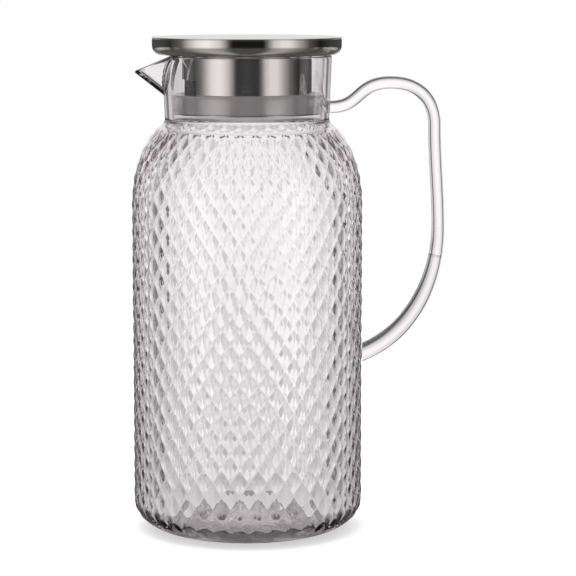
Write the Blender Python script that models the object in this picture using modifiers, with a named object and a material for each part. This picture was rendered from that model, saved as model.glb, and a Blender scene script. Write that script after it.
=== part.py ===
"""Clear pitcher with a V spout, a rod handle and a steel lid that turns on a silicone seal.

Metres, +Z up. The origin is the centre of the flat base. The spout points to -X and the handle to +X.
"""

import math

import bmesh
import bpy
import numpy as np
from mathutils import Vector

MM = 0.001

# Vessel
BODY_R = 57.9 * MM              # mean outer radius, halfway between groove and diamond point
BODY_WALL = 3.2 * MM
BODY_H = 165.7 * MM             # from the base to where the shoulder starts
FLOOR = 3.2 * MM                # thickness of the floor
HEEL_REACH = 21.0 * MM          # the heel is a quarter ellipse, this wide
HEEL_RISE = 15.3 * MM           # and this high
SHOULDER_REACH = 25.4 * MM      # the shoulder is part of a quarter ellipse
SHOULDER_RISE = 44.0 * MM
NECK_BASE_R = 41.2 * MM         # outer radius where the shoulder would cut the neck
NECK_RIM_R = 42.6 * MM          # outer radius at the rim
NECK_WALL = 3.5 * MM
NECK_H = 33.6 * MM              # from the shoulder to the rim
NECK_FILLET = 4.0 * MM
RIM_ROUND = 0.8 * MM

# Diamond relief
DIAMONDS = 40                   # round the body
DIAMOND_H = 13.9 * MM           # from point to point, measured along the wall
RELIEF = 0.6 * MM               # from groove to diamond point
ROWS_ON_SHOULDER = 6            # half diamonds above the start of the shoulder
ROWS_BELOW = 23                 # half diamonds below it

# Spout
SPOUT_REACH = 14.3 * MM         # how far the tip stands out from the rim
SPOUT_DROP = 8.0 * MM           # how far the tip lies below the rim
SPOUT_KEEL_DROP = 20.5 * MM     # where its lower edge meets the neck, below the rim
SPOUT_HALF_ANGLE = 27.5         # degrees, of its two corners on the rim
SPOUT_LIP = 5.2 * MM            # thickness of the lip at the tip

# Handle
HANDLE_THICK = 6.2 * MM         # in the plane of the handle
HANDLE_WIDTH = 9.0 * MM         # across it
FOOT_THICK = 7.0 * MM           # at its lower end, where it spreads on the body
ROOT_DROP = 25.8 * MM           # centre of its upper end, below the rim
CREST_DROP = 13.5 * MM          # centre of its arch, below the rim
CREST_OUT = 30.8 * MM           # and out from the neck
GRIP_DROP = 34.7 * MM           # top of the grip, below the rim
GRIP_H = 52.4 * MM              # from there to where the grip stands out most
GRIP_GAP = 38.5 * MM            # from the body to the centre of the grip
GRIP_LEAN = 2.1 * MM            # the grip's top lies this much further in
FOOT_Z = 90.1 * MM              # centre of its lower end
FOOT_SLOPE = 22.5               # degrees, of its lower end above the horizontal
ROOT_EASE = 16.0 * MM           # these lengths say how slowly the curve turns away from each point
CREST_EASE = 17.7 * MM
SHOULDER_EASE = 8.3 * MM        # from the arch into the grip
GRIP_EASE = 17.0 * MM
BOW_EASE = 20.1 * MM            # from the grip into the lower bend
FOOT_EASE = 32.2 * MM

# Lid
CAP_R = 47.6 * MM
CAP_H = 9.0 * MM
CAP_CURVE = 5.6 * MM            # how far the pan's side curves in
SHEET = 0.8 * MM                # steel of the pan and the sleeve
TOP_THICK = 1.2 * MM
TOP_SKIRT = 2.2 * MM            # rim under the disc, inside the pan
SEAL_BAND = 5.55 * MM           # from the sleeve to the seal's lip
SEAL_TOP_DROP = 17.9 * MM       # top of the seal's lip, below the rim
SEAL_DISH = 2.4 * MM            # the seal's top falls this much from lip to sleeve
SEAL_H = 11.4 * MM
SEAL_TAPER = 1.6 * MM           # the seal's foot is this much smaller in radius
SEAL_LIP = 0.6 * MM             # width of the lip's flat edge
WINDOW_H = 8.4 * MM
WINDOW_HALF_ANGLE = 39.0        # degrees
STRAINER_MARGIN = 2.4 * MM      # overlap of the strainer behind the window's edges
STRAINER_SHEET = 0.6 * MM
STRAINER_HOLE_R = 0.9 * MM
STRAINER_ROWS = 3
STRAINER_COLUMNS = 11
FLANGE_THICK = 1.0 * MM
FLANGE_SET_BACK = 0.4 * MM      # the flange's edge lies this far inside the seal's foot
FLANGE_COLLAR = 3.2 * MM        # collar that locates the flange in the sleeve

# Fits and facets
CLEARANCE = 0.3 * MM
RELIEF_STEPS = 2 * DIAMONDS     # facets round the vessel, two to a diamond
LID_STEPS = 48
ARC_STEPS = 6
LID_ARC_STEPS = 4
MERGE = 0.01 * MM
ROD_SIDES = 4                   # bevel resolution of the handle
ROD_STEPS = 9                   # rings between two points of the handle's curve
DRILL_SIDES = 8
FINE_STEPS = 200                # of a curve that is then divided by its length
CUT_PAST = 5.0 * MM             # how far a cutter reaches past what it cuts

# Heights and radii that follow from the sizes above
neck_share = (BODY_R - NECK_BASE_R) / SHOULDER_REACH
NECK_Z = BODY_H + SHOULDER_RISE * math.sqrt(1 - (1 - neck_share) ** 2)
RIM_Z = NECK_Z + NECK_H
NECK_TAPER = (NECK_RIM_R - NECK_BASE_R) / NECK_H
PAN_Z = RIM_Z + CLEARANCE
CAP_Z = PAN_Z + CAP_H
SEAL_TOP_Z = RIM_Z - SEAL_TOP_DROP
SEAL_FOOT_Z = SEAL_TOP_Z - SEAL_H
WINDOW_Z = SEAL_TOP_Z - SEAL_DISH + CLEARANCE
FLANGE_Z = SEAL_FOOT_Z - CLEARANCE


def neck_radius(z):
    """Outer radius of the neck at height z."""
    return NECK_BASE_R + NECK_TAPER * (z - NECK_Z)


def throat_radius(z):
    """Inner radius of the neck at height z."""
    return neck_radius(z) - NECK_WALL


SEAL_R = throat_radius(SEAL_TOP_Z) - CLEARANCE
SEAL_FOOT_R = SEAL_R - SEAL_TAPER
SLEEVE_R = SEAL_R - SEAL_BAND


# Scene and small helpers

def clear_scene():
    for obj in list(bpy.data.objects):
        bpy.data.objects.remove(obj, do_unlink=True)


def new_collection(name):
    collection = bpy.data.collections.new(name)
    bpy.context.scene.collection.children.link(collection)
    return collection


def new_material(name, color, roughness, metallic=0.0, transmission=0.0):
    material = bpy.data.materials.new(name)
    material.use_nodes = True
    shader = material.node_tree.nodes["Principled BSDF"]
    shader.inputs["Base Color"].default_value = (*color, 1.0)
    shader.inputs["Roughness"].default_value = roughness
    shader.inputs["Metallic"].default_value = metallic
    shader.inputs["Transmission Weight"].default_value = transmission
    return material


def link(obj, collection, material=None):
    collection.objects.link(obj)
    if material:
        obj.data.materials.append(material)
    return obj


def make_cutter(obj, collection):
    obj.hide_render = True
    obj.display_type = "WIRE"
    return link(obj, collection)


def shade(mesh, angle=40.0):
    mesh.shade_smooth()
    mesh.set_sharp_from_angle(angle=math.radians(angle))


def baked(obj):
    """The object's evaluated shape as a new mesh object of the same name, in place of obj."""
    depsgraph = bpy.context.evaluated_depsgraph_get()
    mesh = bpy.data.meshes.new_from_object(obj.evaluated_get(depsgraph))
    result = bpy.data.objects.new(obj.name, mesh)
    result.matrix_world = obj.matrix_world
    name = obj.name
    bpy.data.objects.remove(obj, do_unlink=True)
    result.name = name
    return result


def turned(name, profile, steps):
    """A profile of (radius, height) points, swept once round Z by a Screw modifier."""
    mesh = bpy.data.meshes.new(name)
    points = [(r, 0.0, z) for r, z in profile]
    edges = [(i, i + 1) for i in range(len(points) - 1)]
    if profile[0][0] > 0.0:
        edges.append((len(points) - 1, 0))
    mesh.from_pydata(points, edges, [])
    obj = bpy.data.objects.new(name, mesh)
    screw = obj.modifiers.new("turn", "SCREW")
    screw.axis = "Z"
    screw.steps = steps
    screw.render_steps = steps
    screw.use_merge_vertices = True
    screw.merge_threshold = MERGE
    return obj


def boolean(obj, tool, operation):
    modifier = obj.modifiers.new(tool.name, "BOOLEAN")
    modifier.operation = operation
    modifier.object = tool
    modifier.solver = "EXACT"


def hull(name, points):
    """The convex solid round a set of points."""
    mesh = bpy.data.meshes.new(name)
    shape = bmesh.new()
    for point in points:
        shape.verts.new(point)
    bmesh.ops.convex_hull(shape, input=shape.verts)
    loose = [vert for vert in shape.verts if not vert.link_faces]
    bmesh.ops.delete(shape, geom=loose, context="VERTS")
    bmesh.ops.recalc_face_normals(shape, faces=shape.faces)
    shape.to_mesh(mesh)
    shape.free()
    return bpy.data.objects.new(name, mesh)


# Curves of the vessel's wall

def ellipse_arc(centre, reach, rise, start, end, steps):
    """Points of an ellipse in the (radius, height) plane, between two angles in radians."""
    angles = np.linspace(start, end, steps + 1)
    return [(centre[0] + reach * math.cos(a), centre[1] + rise * math.sin(a)) for a in angles]


def corner_arc(start, corner, end, steps):
    """A quadratic curve that rounds the corner between two points, ends included."""
    points = []
    for share in np.linspace(0.0, 1.0, steps + 1):
        weights = ((1 - share) ** 2, 2 * share * (1 - share), share ** 2)
        points.append(tuple(sum(w * p[k] for w, p in zip(weights, (start, corner, end))) for k in (0, 1)))
    return points


def walk(points, distances):
    """Points at the given distances along a polyline."""
    line = np.array(points)
    steps = np.hypot(*np.diff(line, axis=0).T)
    along = np.concatenate(([0.0], np.cumsum(steps)))
    radii = np.interp(distances, along, line[:, 0])
    heights = np.interp(distances, along, line[:, 1])
    return list(zip(radii, heights))


def relief_rows():
    """Rows of the diamond net down the wall, from the shoulder to the heel, as (radius, height)."""
    half = DIAMOND_H / 2
    shoulder_centre = (BODY_R - SHOULDER_REACH, BODY_H)
    heel_centre = (BODY_R - HEEL_REACH, HEEL_RISE)
    up = ellipse_arc(shoulder_centre, SHOULDER_REACH, SHOULDER_RISE, 0.0, math.pi / 2, FINE_STEPS)
    heel = ellipse_arc(heel_centre, HEEL_REACH, HEEL_RISE, 0.0, -math.pi / 2, FINE_STEPS)
    above = walk(up, [half * row for row in range(ROWS_ON_SHOULDER, 0, -1)])
    below = walk([(BODY_R, BODY_H)] + heel, [half * row for row in range(ROWS_BELOW + 1)])
    return above + below


def vessel_profile(rows):
    """The wall's section: floor, inside up to the rim, outside down to the base."""
    inner_r = BODY_R - BODY_WALL
    throat_z = NECK_Z - BODY_WALL
    throat_r = throat_radius(NECK_Z)
    inner_rise = (throat_z - BODY_H) / math.sqrt(1 - (1 - (inner_r - throat_r) / SHOULDER_REACH) ** 2)
    top_angle = math.acos(1 - (inner_r - throat_r) / SHOULDER_REACH)
    floor_rise = HEEL_RISE - BODY_WALL
    inside = [(0.0, FLOOR)]
    inside += ellipse_arc((inner_r - HEEL_REACH, FLOOR + floor_rise), HEEL_REACH, floor_rise,
                          -math.pi / 2, 0.0, ARC_STEPS)
    inside += ellipse_arc((inner_r - SHOULDER_REACH, BODY_H), SHOULDER_REACH, inner_rise,
                          0.0, top_angle, ARC_STEPS)
    rim_inner = throat_radius(RIM_Z)
    rim = [(rim_inner, RIM_Z - RIM_ROUND), (rim_inner + RIM_ROUND, RIM_Z),
           (NECK_RIM_R - RIM_ROUND, RIM_Z), (NECK_RIM_R, RIM_Z - RIM_ROUND)]
    fillet_z = NECK_Z + NECK_FILLET
    fillet = corner_arc((neck_radius(fillet_z), fillet_z), (NECK_BASE_R, NECK_Z), rows[0], ARC_STEPS)
    heel_end = (BODY_R - HEEL_REACH, 0.0)
    return inside + rim + fillet[:-1] + rows + [heel_end, (0.0, 0.0)]


# Vessel

def emboss(obj, rows):
    """Raise and lower alternate points of the net, and split its faces along the grooves."""
    shape = bmesh.new()
    shape.from_mesh(obj.data)
    shape.normal_update()
    line = np.array(rows)
    lift = {}
    for vert in shape.verts:
        radius = math.hypot(vert.co.x, vert.co.y)
        apart = np.hypot(line[:, 0] - radius, line[:, 1] - vert.co.z)
        row = int(apart.argmin())
        if apart[row] < MERGE:
            column = round(math.atan2(vert.co.y, vert.co.x) / math.tau * RELIEF_STEPS)
            lift[vert] = 1 if (column + row - ROWS_ON_SHOULDER) % 2 == 0 else -1
    for face in list(shape.faces):
        low = [vert for vert in face.verts if lift.get(vert) == -1]
        if len(face.verts) == 4 and len(low) == 2 and all(vert in lift for vert in face.verts):
            bmesh.utils.face_split(face, low[0], low[1])
    moves = {vert: vert.normal.copy() for vert in lift}
    for vert, side in lift.items():
        vert.co += moves[vert] * side * RELIEF / 2
    shape.to_mesh(obj.data)
    shape.free()


def spout_solids():
    """The spout's outer wedge and the channel cut into it."""
    tip = Vector((-(NECK_RIM_R + SPOUT_REACH), 0.0, RIM_Z - SPOUT_DROP))
    keel_z = RIM_Z - SPOUT_KEEL_DROP
    keel = Vector((-neck_radius(keel_z), 0.0, keel_z))
    angle = math.radians(SPOUT_HALF_ANGLE)
    corner_x = -NECK_RIM_R * math.cos(angle)
    corner_y = NECK_RIM_R * math.sin(angle)
    corner_z = RIM_Z - RIM_ROUND
    inward = Vector((NECK_WALL * 2, 0.0, 0.0))
    outer = [tip, keel, keel + inward]
    for side in (-1, 1):
        corner = Vector((corner_x, side * corner_y, corner_z))
        outer += [corner, corner + inward]

    slope = (corner_z - tip.z) / (corner_x - tip.x)
    mouth_r = throat_radius(RIM_Z) - CLEARANCE
    lip = Vector((tip.x + SPOUT_LIP, 0.0, tip.z + slope * SPOUT_LIP))
    root_z = SEAL_TOP_Z + 2 * CLEARANCE
    root = Vector((-throat_radius(root_z), 0.0, root_z))
    above = Vector((0.0, 0.0, CAP_H))
    touch = math.acos(mouth_r / -lip.x)
    channel = [lip, lip + above, root, root + inward, root + inward + above]
    for side in (-1, 1):
        corner = Vector((-mouth_r * math.cos(touch), side * mouth_r * math.sin(touch), RIM_Z))
        channel += [corner, corner + above]
    return hull("spout_wedge", outer), hull("spout_channel", channel)


def make_vessel(parts, cutters, material):
    rows = relief_rows()
    blank = link(turned("vessel", vessel_profile(rows), RELIEF_STEPS), parts)
    vessel = link(baked(blank), parts, material)
    emboss(vessel, rows)
    wedge, channel = spout_solids()
    core_r = throat_radius(RIM_Z) + NECK_WALL / 2
    core_top = RIM_Z + CAP_H
    core_profile = [(0.0, core_top), (core_r, core_top), (core_r, BODY_H), (0.0, BODY_H)]
    core = turned("neck_core", core_profile, RELIEF_STEPS)
    make_cutter(core, cutters)
    make_cutter(wedge, cutters)
    make_cutter(channel, cutters)
    boolean(wedge, core, "DIFFERENCE")
    boolean(vessel, wedge, "UNION")
    boolean(vessel, channel, "DIFFERENCE")
    shade(vessel.data, 20.0)


# Handle

def handle_path():
    """The handle's centre line as (point, ease in, ease out, thickness), in the XZ plane.

    It leaves the neck level, arches over, runs down as the grip and bends back to the body.
    """
    root_z = RIM_Z - ROOT_DROP
    neck = neck_radius(root_z)
    bow_x = BODY_R + GRIP_GAP
    grip_z = RIM_Z - GRIP_DROP
    out = Vector((1.0, 0.0, 0.0))
    down = Vector((0.0, 0.0, -1.0))
    slope = math.radians(FOOT_SLOPE)
    inward = Vector((-math.cos(slope), 0.0, -math.sin(slope)))
    root = Vector((neck, 0.0, root_z))
    crest = Vector((neck + CREST_OUT, 0.0, RIM_Z - CREST_DROP))
    grip = Vector((bow_x - GRIP_LEAN, 0.0, grip_z))
    bow = Vector((bow_x, 0.0, grip_z - GRIP_H))
    foot = Vector((BODY_R, 0.0, FOOT_Z))
    sunk_root = out * NECK_WALL
    sunk_foot = inward * BODY_WALL
    return [
        (root - sunk_root, -sunk_root / 3, sunk_root / 3, HANDLE_THICK),
        (root, -sunk_root / 3, out * ROOT_EASE, HANDLE_THICK),
        (crest, -out * CREST_EASE, out * CREST_EASE, HANDLE_THICK),
        (grip, -down * SHOULDER_EASE, down * GRIP_EASE, HANDLE_THICK),
        (bow, -down * GRIP_EASE, down * BOW_EASE, HANDLE_THICK),
        (foot, -inward * FOOT_EASE, sunk_foot / 3, FOOT_THICK),
        (foot + sunk_foot, -sunk_foot / 3, sunk_foot / 3, FOOT_THICK),
    ]


def make_handle(parts, cutters, material):
    curve = bpy.data.curves.new("handle", "CURVE")
    curve.dimensions = "3D"
    curve.bevel_depth = HANDLE_THICK / 2
    curve.bevel_resolution = ROD_SIDES
    curve.resolution_u = ROD_STEPS
    curve.use_fill_caps = True
    spline = curve.splines.new("BEZIER")
    path = handle_path()
    spline.bezier_points.add(len(path) - 1)
    for point, (place, ease_in, ease_out, thick) in zip(spline.bezier_points, path):
        point.handle_left_type = "FREE"
        point.handle_right_type = "FREE"
        point.co = place
        point.handle_left = place + ease_in
        point.handle_right = place + ease_out
        point.radius = thick / HANDLE_THICK
    rod = link(bpy.data.objects.new("handle", curve), parts)
    handle = link(baked(rod), parts, material)
    shape = bmesh.new()
    shape.from_mesh(handle.data)
    bmesh.ops.remove_doubles(shape, verts=shape.verts, dist=MERGE)
    for vert in shape.verts:
        vert.co.y *= HANDLE_WIDTH / HANDLE_THICK
    bmesh.ops.recalc_face_normals(shape, faces=shape.faces)
    shape.to_mesh(handle.data)
    shape.free()

    grow = CLEARANCE + RELIEF / 2
    outside = [(NECK_RIM_R + CLEARANCE, RIM_Z), (NECK_BASE_R + CLEARANCE, NECK_Z)]
    outside += [(BODY_R + grow, BODY_H), (BODY_R + grow, 0.0)]
    shell = turned("vessel_outside", [(0.0, RIM_Z)] + outside + [(0.0, 0.0)], RELIEF_STEPS)
    make_cutter(shell, cutters)
    boolean(handle, shell, "DIFFERENCE")
    shade(handle.data)


# Lid

def make_lid_top(parts, material):
    under = CAP_Z - TOP_THICK
    skirt_r = CAP_R - SHEET - CLEARANCE
    skirt_z = under - TOP_SKIRT
    edge = corner_arc((CAP_R - TOP_THICK, CAP_Z), (CAP_R, CAP_Z), (CAP_R, under), LID_ARC_STEPS)
    profile = [(0.0, CAP_Z)] + edge
    profile += [(skirt_r, under), (skirt_r, skirt_z), (skirt_r - SHEET, skirt_z), (skirt_r - SHEET, under)]
    profile += [(0.0, under)]
    disc = link(turned("lid_top", profile, LID_STEPS), parts, material)
    shade(disc.data)


def make_lid_pan(parts, material):
    lip_z = CAP_Z - TOP_THICK - CLEARANCE
    side_z = lip_z - TOP_SKIRT
    flat_r = CAP_R - CAP_CURVE
    inner_r = CAP_R - SHEET
    floor_z = PAN_Z + SHEET
    outer = corner_arc((CAP_R, side_z), (CAP_R, PAN_Z), (flat_r, PAN_Z), LID_ARC_STEPS)
    inner = corner_arc((flat_r, floor_z), (inner_r, floor_z), (inner_r, side_z), LID_ARC_STEPS)
    lip = [(inner_r, lip_z), (CAP_R, lip_z)]
    profile = [(0.0, floor_z)] + inner + lip + outer + [(0.0, PAN_Z)]
    pan = link(turned("lid_pan", profile, LID_STEPS), parts, material)
    shade(pan.data)


def sector(name, radius, low, high, half_angle):
    """A wedge of a cylinder round -X, to cut a window or to trim a strip."""
    angles = np.linspace(-half_angle, half_angle, LID_ARC_STEPS + 1)
    points = [Vector((0.0, 0.0, low)), Vector((0.0, 0.0, high))]
    for angle in angles:
        x, y = -radius * math.cos(angle), radius * math.sin(angle)
        points += [Vector((x, y, low)), Vector((x, y, high))]
    return hull(name, points)


def make_lid_sleeve(parts, cutters, material):
    top = PAN_Z - CLEARANCE
    inner_r = SLEEVE_R - SHEET
    profile = [(inner_r, SEAL_FOOT_Z), (inner_r, top), (SLEEVE_R, top), (SLEEVE_R, SEAL_FOOT_Z)]
    sleeve = link(turned("lid_sleeve", profile, LID_STEPS), parts, material)
    half_angle = math.radians(WINDOW_HALF_ANGLE)
    window = sector("pour_window", SLEEVE_R + CUT_PAST, WINDOW_Z, WINDOW_Z + WINDOW_H, half_angle)
    make_cutter(window, cutters)
    boolean(sleeve, window, "DIFFERENCE")
    shade(sleeve.data)


def make_strainer(parts, cutters, material):
    outer_r = SLEEVE_R - SHEET - CLEARANCE
    inner_r = outer_r - STRAINER_SHEET
    low = WINDOW_Z - STRAINER_MARGIN
    high = WINDOW_Z + WINDOW_H + STRAINER_MARGIN
    half_angle = math.radians(WINDOW_HALF_ANGLE) + STRAINER_MARGIN / outer_r
    profile = [(inner_r, low), (inner_r, high), (outer_r, high), (outer_r, low)]
    ring = link(turned("strainer", profile, LID_STEPS), parts, material)
    keep = sector("strainer_extent", SLEEVE_R + CUT_PAST, low - CUT_PAST, high + CUT_PAST, half_angle)
    make_cutter(keep, cutters)
    boolean(ring, keep, "INTERSECT")

    drills = bmesh.new()
    pitch_angle = 2 * math.radians(WINDOW_HALF_ANGLE) / STRAINER_COLUMNS
    pitch_z = WINDOW_H / STRAINER_ROWS
    for row in range(STRAINER_ROWS):
        columns = STRAINER_COLUMNS - row % 2
        for column in range(columns):
            angle = math.pi + pitch_angle * (column - (columns - 1) / 2)
            around = Vector((math.cos(angle), math.sin(angle), 0.0))
            place = around * (inner_r + outer_r) / 2
            place.z = WINDOW_Z + pitch_z * (row + 0.5)
            turn = around.to_track_quat("Z", "Y").to_matrix().to_4x4()
            made = bmesh.ops.create_cone(drills, cap_ends=True, segments=DRILL_SIDES,
                                         radius1=STRAINER_HOLE_R, radius2=STRAINER_HOLE_R,
                                         depth=STRAINER_SHEET + 2 * CUT_PAST, matrix=turn)
            bmesh.ops.translate(drills, verts=made["verts"], vec=place)
    mesh = bpy.data.meshes.new("strainer_holes")
    drills.to_mesh(mesh)
    drills.free()
    holes = make_cutter(bpy.data.objects.new("strainer_holes", mesh), cutters)
    boolean(ring, holes, "DIFFERENCE")
    shade(ring.data)


def make_lid_seal(parts, material):
    inner_r = SLEEVE_R + CLEARANCE
    dish_z = SEAL_TOP_Z - SEAL_DISH
    outer = corner_arc((SEAL_R, SEAL_TOP_Z), (SEAL_FOOT_R, (SEAL_TOP_Z + SEAL_FOOT_Z) / 2),
                       (SEAL_FOOT_R, SEAL_FOOT_Z), LID_ARC_STEPS)
    profile = [(inner_r, SEAL_FOOT_Z), (inner_r, dish_z), (SEAL_R - SEAL_LIP, SEAL_TOP_Z)] + outer
    seal = link(turned("lid_seal", profile, LID_STEPS), parts, material)
    shade(seal.data)


def make_seal_retainer(parts, material):
    edge_r = SEAL_FOOT_R - FLANGE_SET_BACK
    collar_r = SLEEVE_R - SHEET - CLEARANCE
    bore_r = collar_r - SHEET
    collar_z = FLANGE_Z + FLANGE_COLLAR
    under = FLANGE_Z - FLANGE_THICK
    profile = [(bore_r, under), (bore_r, collar_z), (collar_r, collar_z)]
    profile += [(collar_r, FLANGE_Z), (edge_r, FLANGE_Z), (edge_r, under)]
    flange = link(turned("seal_retainer", profile, LID_STEPS), parts, material)
    shade(flange.data)


def main():
    clear_scene()
    parts = new_collection("pitcher")
    cutters = new_collection("pitcher_cutters")

    def clear_plastic(name):
        return new_material(name, (0.93, 0.93, 0.95), 0.05, transmission=1.0)

    def steel(name):
        return new_material(name, (0.72, 0.70, 0.67), 0.22, metallic=1.0)

    make_vessel(parts, cutters, clear_plastic("vessel"))
    make_handle(parts, cutters, clear_plastic("handle"))
    make_lid_top(parts, steel("lid_top"))
    make_lid_pan(parts, steel("lid_pan"))
    make_lid_sleeve(parts, cutters, steel("lid_sleeve"))
    make_strainer(parts, cutters, steel("strainer"))
    make_lid_seal(parts, new_material("lid_seal", (0.72, 0.73, 0.75), 0.4, transmission=0.5))
    make_seal_retainer(parts, steel("seal_retainer"))


main()
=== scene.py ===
"""Looks of a clear pitcher with diamond relief, a V spout, a rod handle and a steel lid.

Metres, +Z up, in the frame of the CAD model. The spout points to -X and the handle to +X.
"""

import bisect
import math

import bmesh
import bpy
from mathutils import Matrix, Vector
from mathutils.geometry import interpolate_bezier


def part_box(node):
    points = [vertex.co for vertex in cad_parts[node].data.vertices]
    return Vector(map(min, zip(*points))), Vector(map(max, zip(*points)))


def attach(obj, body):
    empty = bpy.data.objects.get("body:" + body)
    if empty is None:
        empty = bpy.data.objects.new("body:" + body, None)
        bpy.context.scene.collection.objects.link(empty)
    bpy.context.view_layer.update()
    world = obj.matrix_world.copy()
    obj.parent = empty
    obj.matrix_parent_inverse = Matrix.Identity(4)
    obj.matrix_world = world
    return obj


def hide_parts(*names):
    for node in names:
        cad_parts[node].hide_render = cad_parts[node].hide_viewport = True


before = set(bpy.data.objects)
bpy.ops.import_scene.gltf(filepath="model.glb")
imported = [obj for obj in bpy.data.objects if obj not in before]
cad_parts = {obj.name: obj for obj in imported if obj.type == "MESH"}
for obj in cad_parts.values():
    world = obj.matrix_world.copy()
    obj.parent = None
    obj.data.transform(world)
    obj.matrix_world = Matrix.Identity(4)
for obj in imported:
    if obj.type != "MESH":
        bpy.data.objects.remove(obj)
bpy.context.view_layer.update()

MM = 0.001

# Corners of the CAD nodes that the pieces are fitted to
_, VESSEL_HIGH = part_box("vessel")
TOP_LOW, TOP_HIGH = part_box("lid_top")
PAN_LOW, PAN_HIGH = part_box("lid_pan")
SLEEVE_LOW, SLEEVE_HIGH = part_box("lid_sleeve")
SEAL_LOW, SEAL_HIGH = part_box("lid_seal")
_, FLANGE_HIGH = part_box("seal_retainer")

# Vessel
RELIEF = 0.6 * MM               # from groove to the top of a diamond pillow
BODY_R = VESSEL_HIGH.y - RELIEF / 2  # in the middle of the relief
BODY_WALL = 3.2 * MM
BODY_H = 165.7 * MM             # from the base to where the shoulder starts
FLOOR = 3.2 * MM
HEEL_REACH = 21.0 * MM          # the heel is a quarter of an ellipse, this wide
HEEL_RISE = 15.3 * MM           # and this high
SHOULDER_REACH = 25.4 * MM      # the shoulder is part of such a quarter
SHOULDER_RISE = 44.0 * MM
NECK_BASE_R = 41.2 * MM         # outer radius at the foot of the neck
NECK_RIM_R = 42.6 * MM          # and at the rim
NECK_WALL = 3.5 * MM
NECK_H = 33.6 * MM
NECK_FILLET = 2.0 * MM
THROAT_TURN = math.radians(9.0)  # of the inner shoulder, where its edge is rounded into the neck
RIM_ROUND = 0.8 * MM
RIM_Z = VESSEL_HIGH.z
RIM_LOW = RIM_Z - RIM_ROUND
NECK_Z = RIM_Z - NECK_H
NECK_TAPER = (NECK_RIM_R - NECK_BASE_R) / NECK_H
NECK_ROWS = 36                  # of faces up the neck, outside and inside
HEEL_STEPS = 14                 # faces along the curves of the wall's section
FILLET_STEPS = 10
RIM_STEPS = 5
SHOULDER_STEPS = 24
HOLLOW_STEPS = 20

# Diamond relief
DIAMONDS = 40                   # round the body
DIAMOND_H = 13.9 * MM           # from point to point, along the wall
GRID = 6                        # rows and columns of the wall's mesh to a diamond
DIAMONDS_UP = 3                 # rows of diamonds above the start of the shoulder
DIAMONDS_DOWN = 11 + 4 / GRID   # and below it
PATTERN_TURN = math.radians(1.5)
PATTERN_FADES = (0.35, 0.34)    # of a diamond, at the pattern's lower and upper end
SHOULDER_SWELL = 0.3            # how much deeper the relief is on the shoulder
# Mesh lines from a groove to a diamond's middle. The second is the pillow's edge.
PILLOW_LINES = (0.0, 0.04, 0.255, 0.5)
FINE_STEPS = 200                # of the curves that the wall's rows are laid out on
SLOPE_STEP = 0.05               # of a diamond, up and down, to find the wall's slope

# Spout
SPOUT_REACH = 14.3 * MM         # of the tip, out from the rim
SPOUT_DROP = 8.0 * MM           # of the tip, below the rim
SPOUT_KEEL_DROP = 20.5 * MM     # of the point where its lower edge meets the neck
SPOUT_HALF_ANGLE = math.radians(27.5)  # to each of its corners on the rim
SPOUT_WALL = 2.0 * MM
SPOUT_EDGE = math.radians(0.6)  # how far its edge is rounded off

# Handle
HANDLE_THICK = 6.2 * MM         # in the plane of the handle
HANDLE_WIDTH = 9.0 * MM         # across it
ROD_SQUARE = 0.66               # flattens the sides of the rod's section: 1 is an ellipse
FOOT_THICK = 8.6 * MM           # at the lower end
FOOT_START = 0.72               # share of the handle's stations from which it spreads
ROOT_DROP = 25.8 * MM           # of the upper end, below the rim
CREST_DROP = 13.5 * MM          # of the arch, below the rim
CREST_OUT = 30.8 * MM           # and out from the neck
GRIP_DROP = 34.7 * MM           # of the grip's top, below the rim
GRIP_H = 52.4 * MM              # from there down to where the grip stands out most
GRIP_GAP = 38.5 * MM            # from the body to there
GRIP_LEAN = 2.1 * MM            # how much further in the grip's top lies
FOOT_Z = 90.1 * MM              # of the lower end
FOOT_SLOPE = math.radians(22.5)
ROOT_EASE = 16.0 * MM           # lengths of the curve's handles at these points
CREST_EASE = 17.7 * MM
SHOULDER_EASE = 8.3 * MM        # into the grip
GRIP_EASE = 17.0 * MM
BOW_EASE = 20.1 * MM            # out of the grip
FOOT_EASE = 32.2 * MM
HANDLE_SIDES = 40
HANDLE_STATIONS = 40            # between two points of its curve
SEAM_STATION = 128              # where two lengths of the rod were joined
SEAM_W = 0.6 * MM
SEAM_DEPTH = 0.25 * MM

# Lid
CAP_CURVE = 5.6 * MM            # how far in the bowl's side curves
SHEET = 0.8 * MM
TOP_THICK = 1.2 * MM
DISC_EDGE = 0.55 * MM           # of the disc that shows above the bowl
EDGE_ROUND = 0.3 * MM           # of the disc's upper edge
SEAM_ROUND = 0.06 * MM          # of the edges where disc and bowl meet
SHEET_ROUND = 0.15 * MM         # of the edges of sleeve and flange
WINDOW_HALF_ANGLE = math.radians(42.5)
WINDOW_H = 8.4 * MM
SEAL_DISH = 2.4 * MM            # depth of the seal's top at the sleeve, below the CAD model's lip
SEAL_TAPER = 0.6 * MM           # from the radius of its lip to that of its foot
SEAL_LIP = 0.6 * MM             # width of the lip's flat top
SEAL_ROUND = 0.2 * MM
SEAL_FOOT_R = SEAL_HIGH.x - SEAL_TAPER
LIP_DROP = 1.1 * MM             # of the seal's lip, below the CAD model's
FOOT_LIFT = 1.3 * MM            # of the seal's foot and the sleeve's end, above the CAD model's
FLANGE_THICK = 0.6 * MM
FLANGE_SET_BACK = 0.4 * MM      # of the flange's edge inside the seal's foot
LID_STEPS = 240                 # round the lid's pieces
LID_ARC_STEPS = 16              # along the curves of bowl and seal
EDGE_STEPS = 6                  # along the disc's upper edge

SEAT_GAP = 0.3 * MM             # between pieces that sit on or in each other
WELD = 0.001 * MM
SMOOTH_ANGLE = math.radians(35.0)
BEVEL_ANGLE = math.radians(30.0)
BEVEL_SEGMENTS = 3


# Shapes

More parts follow.
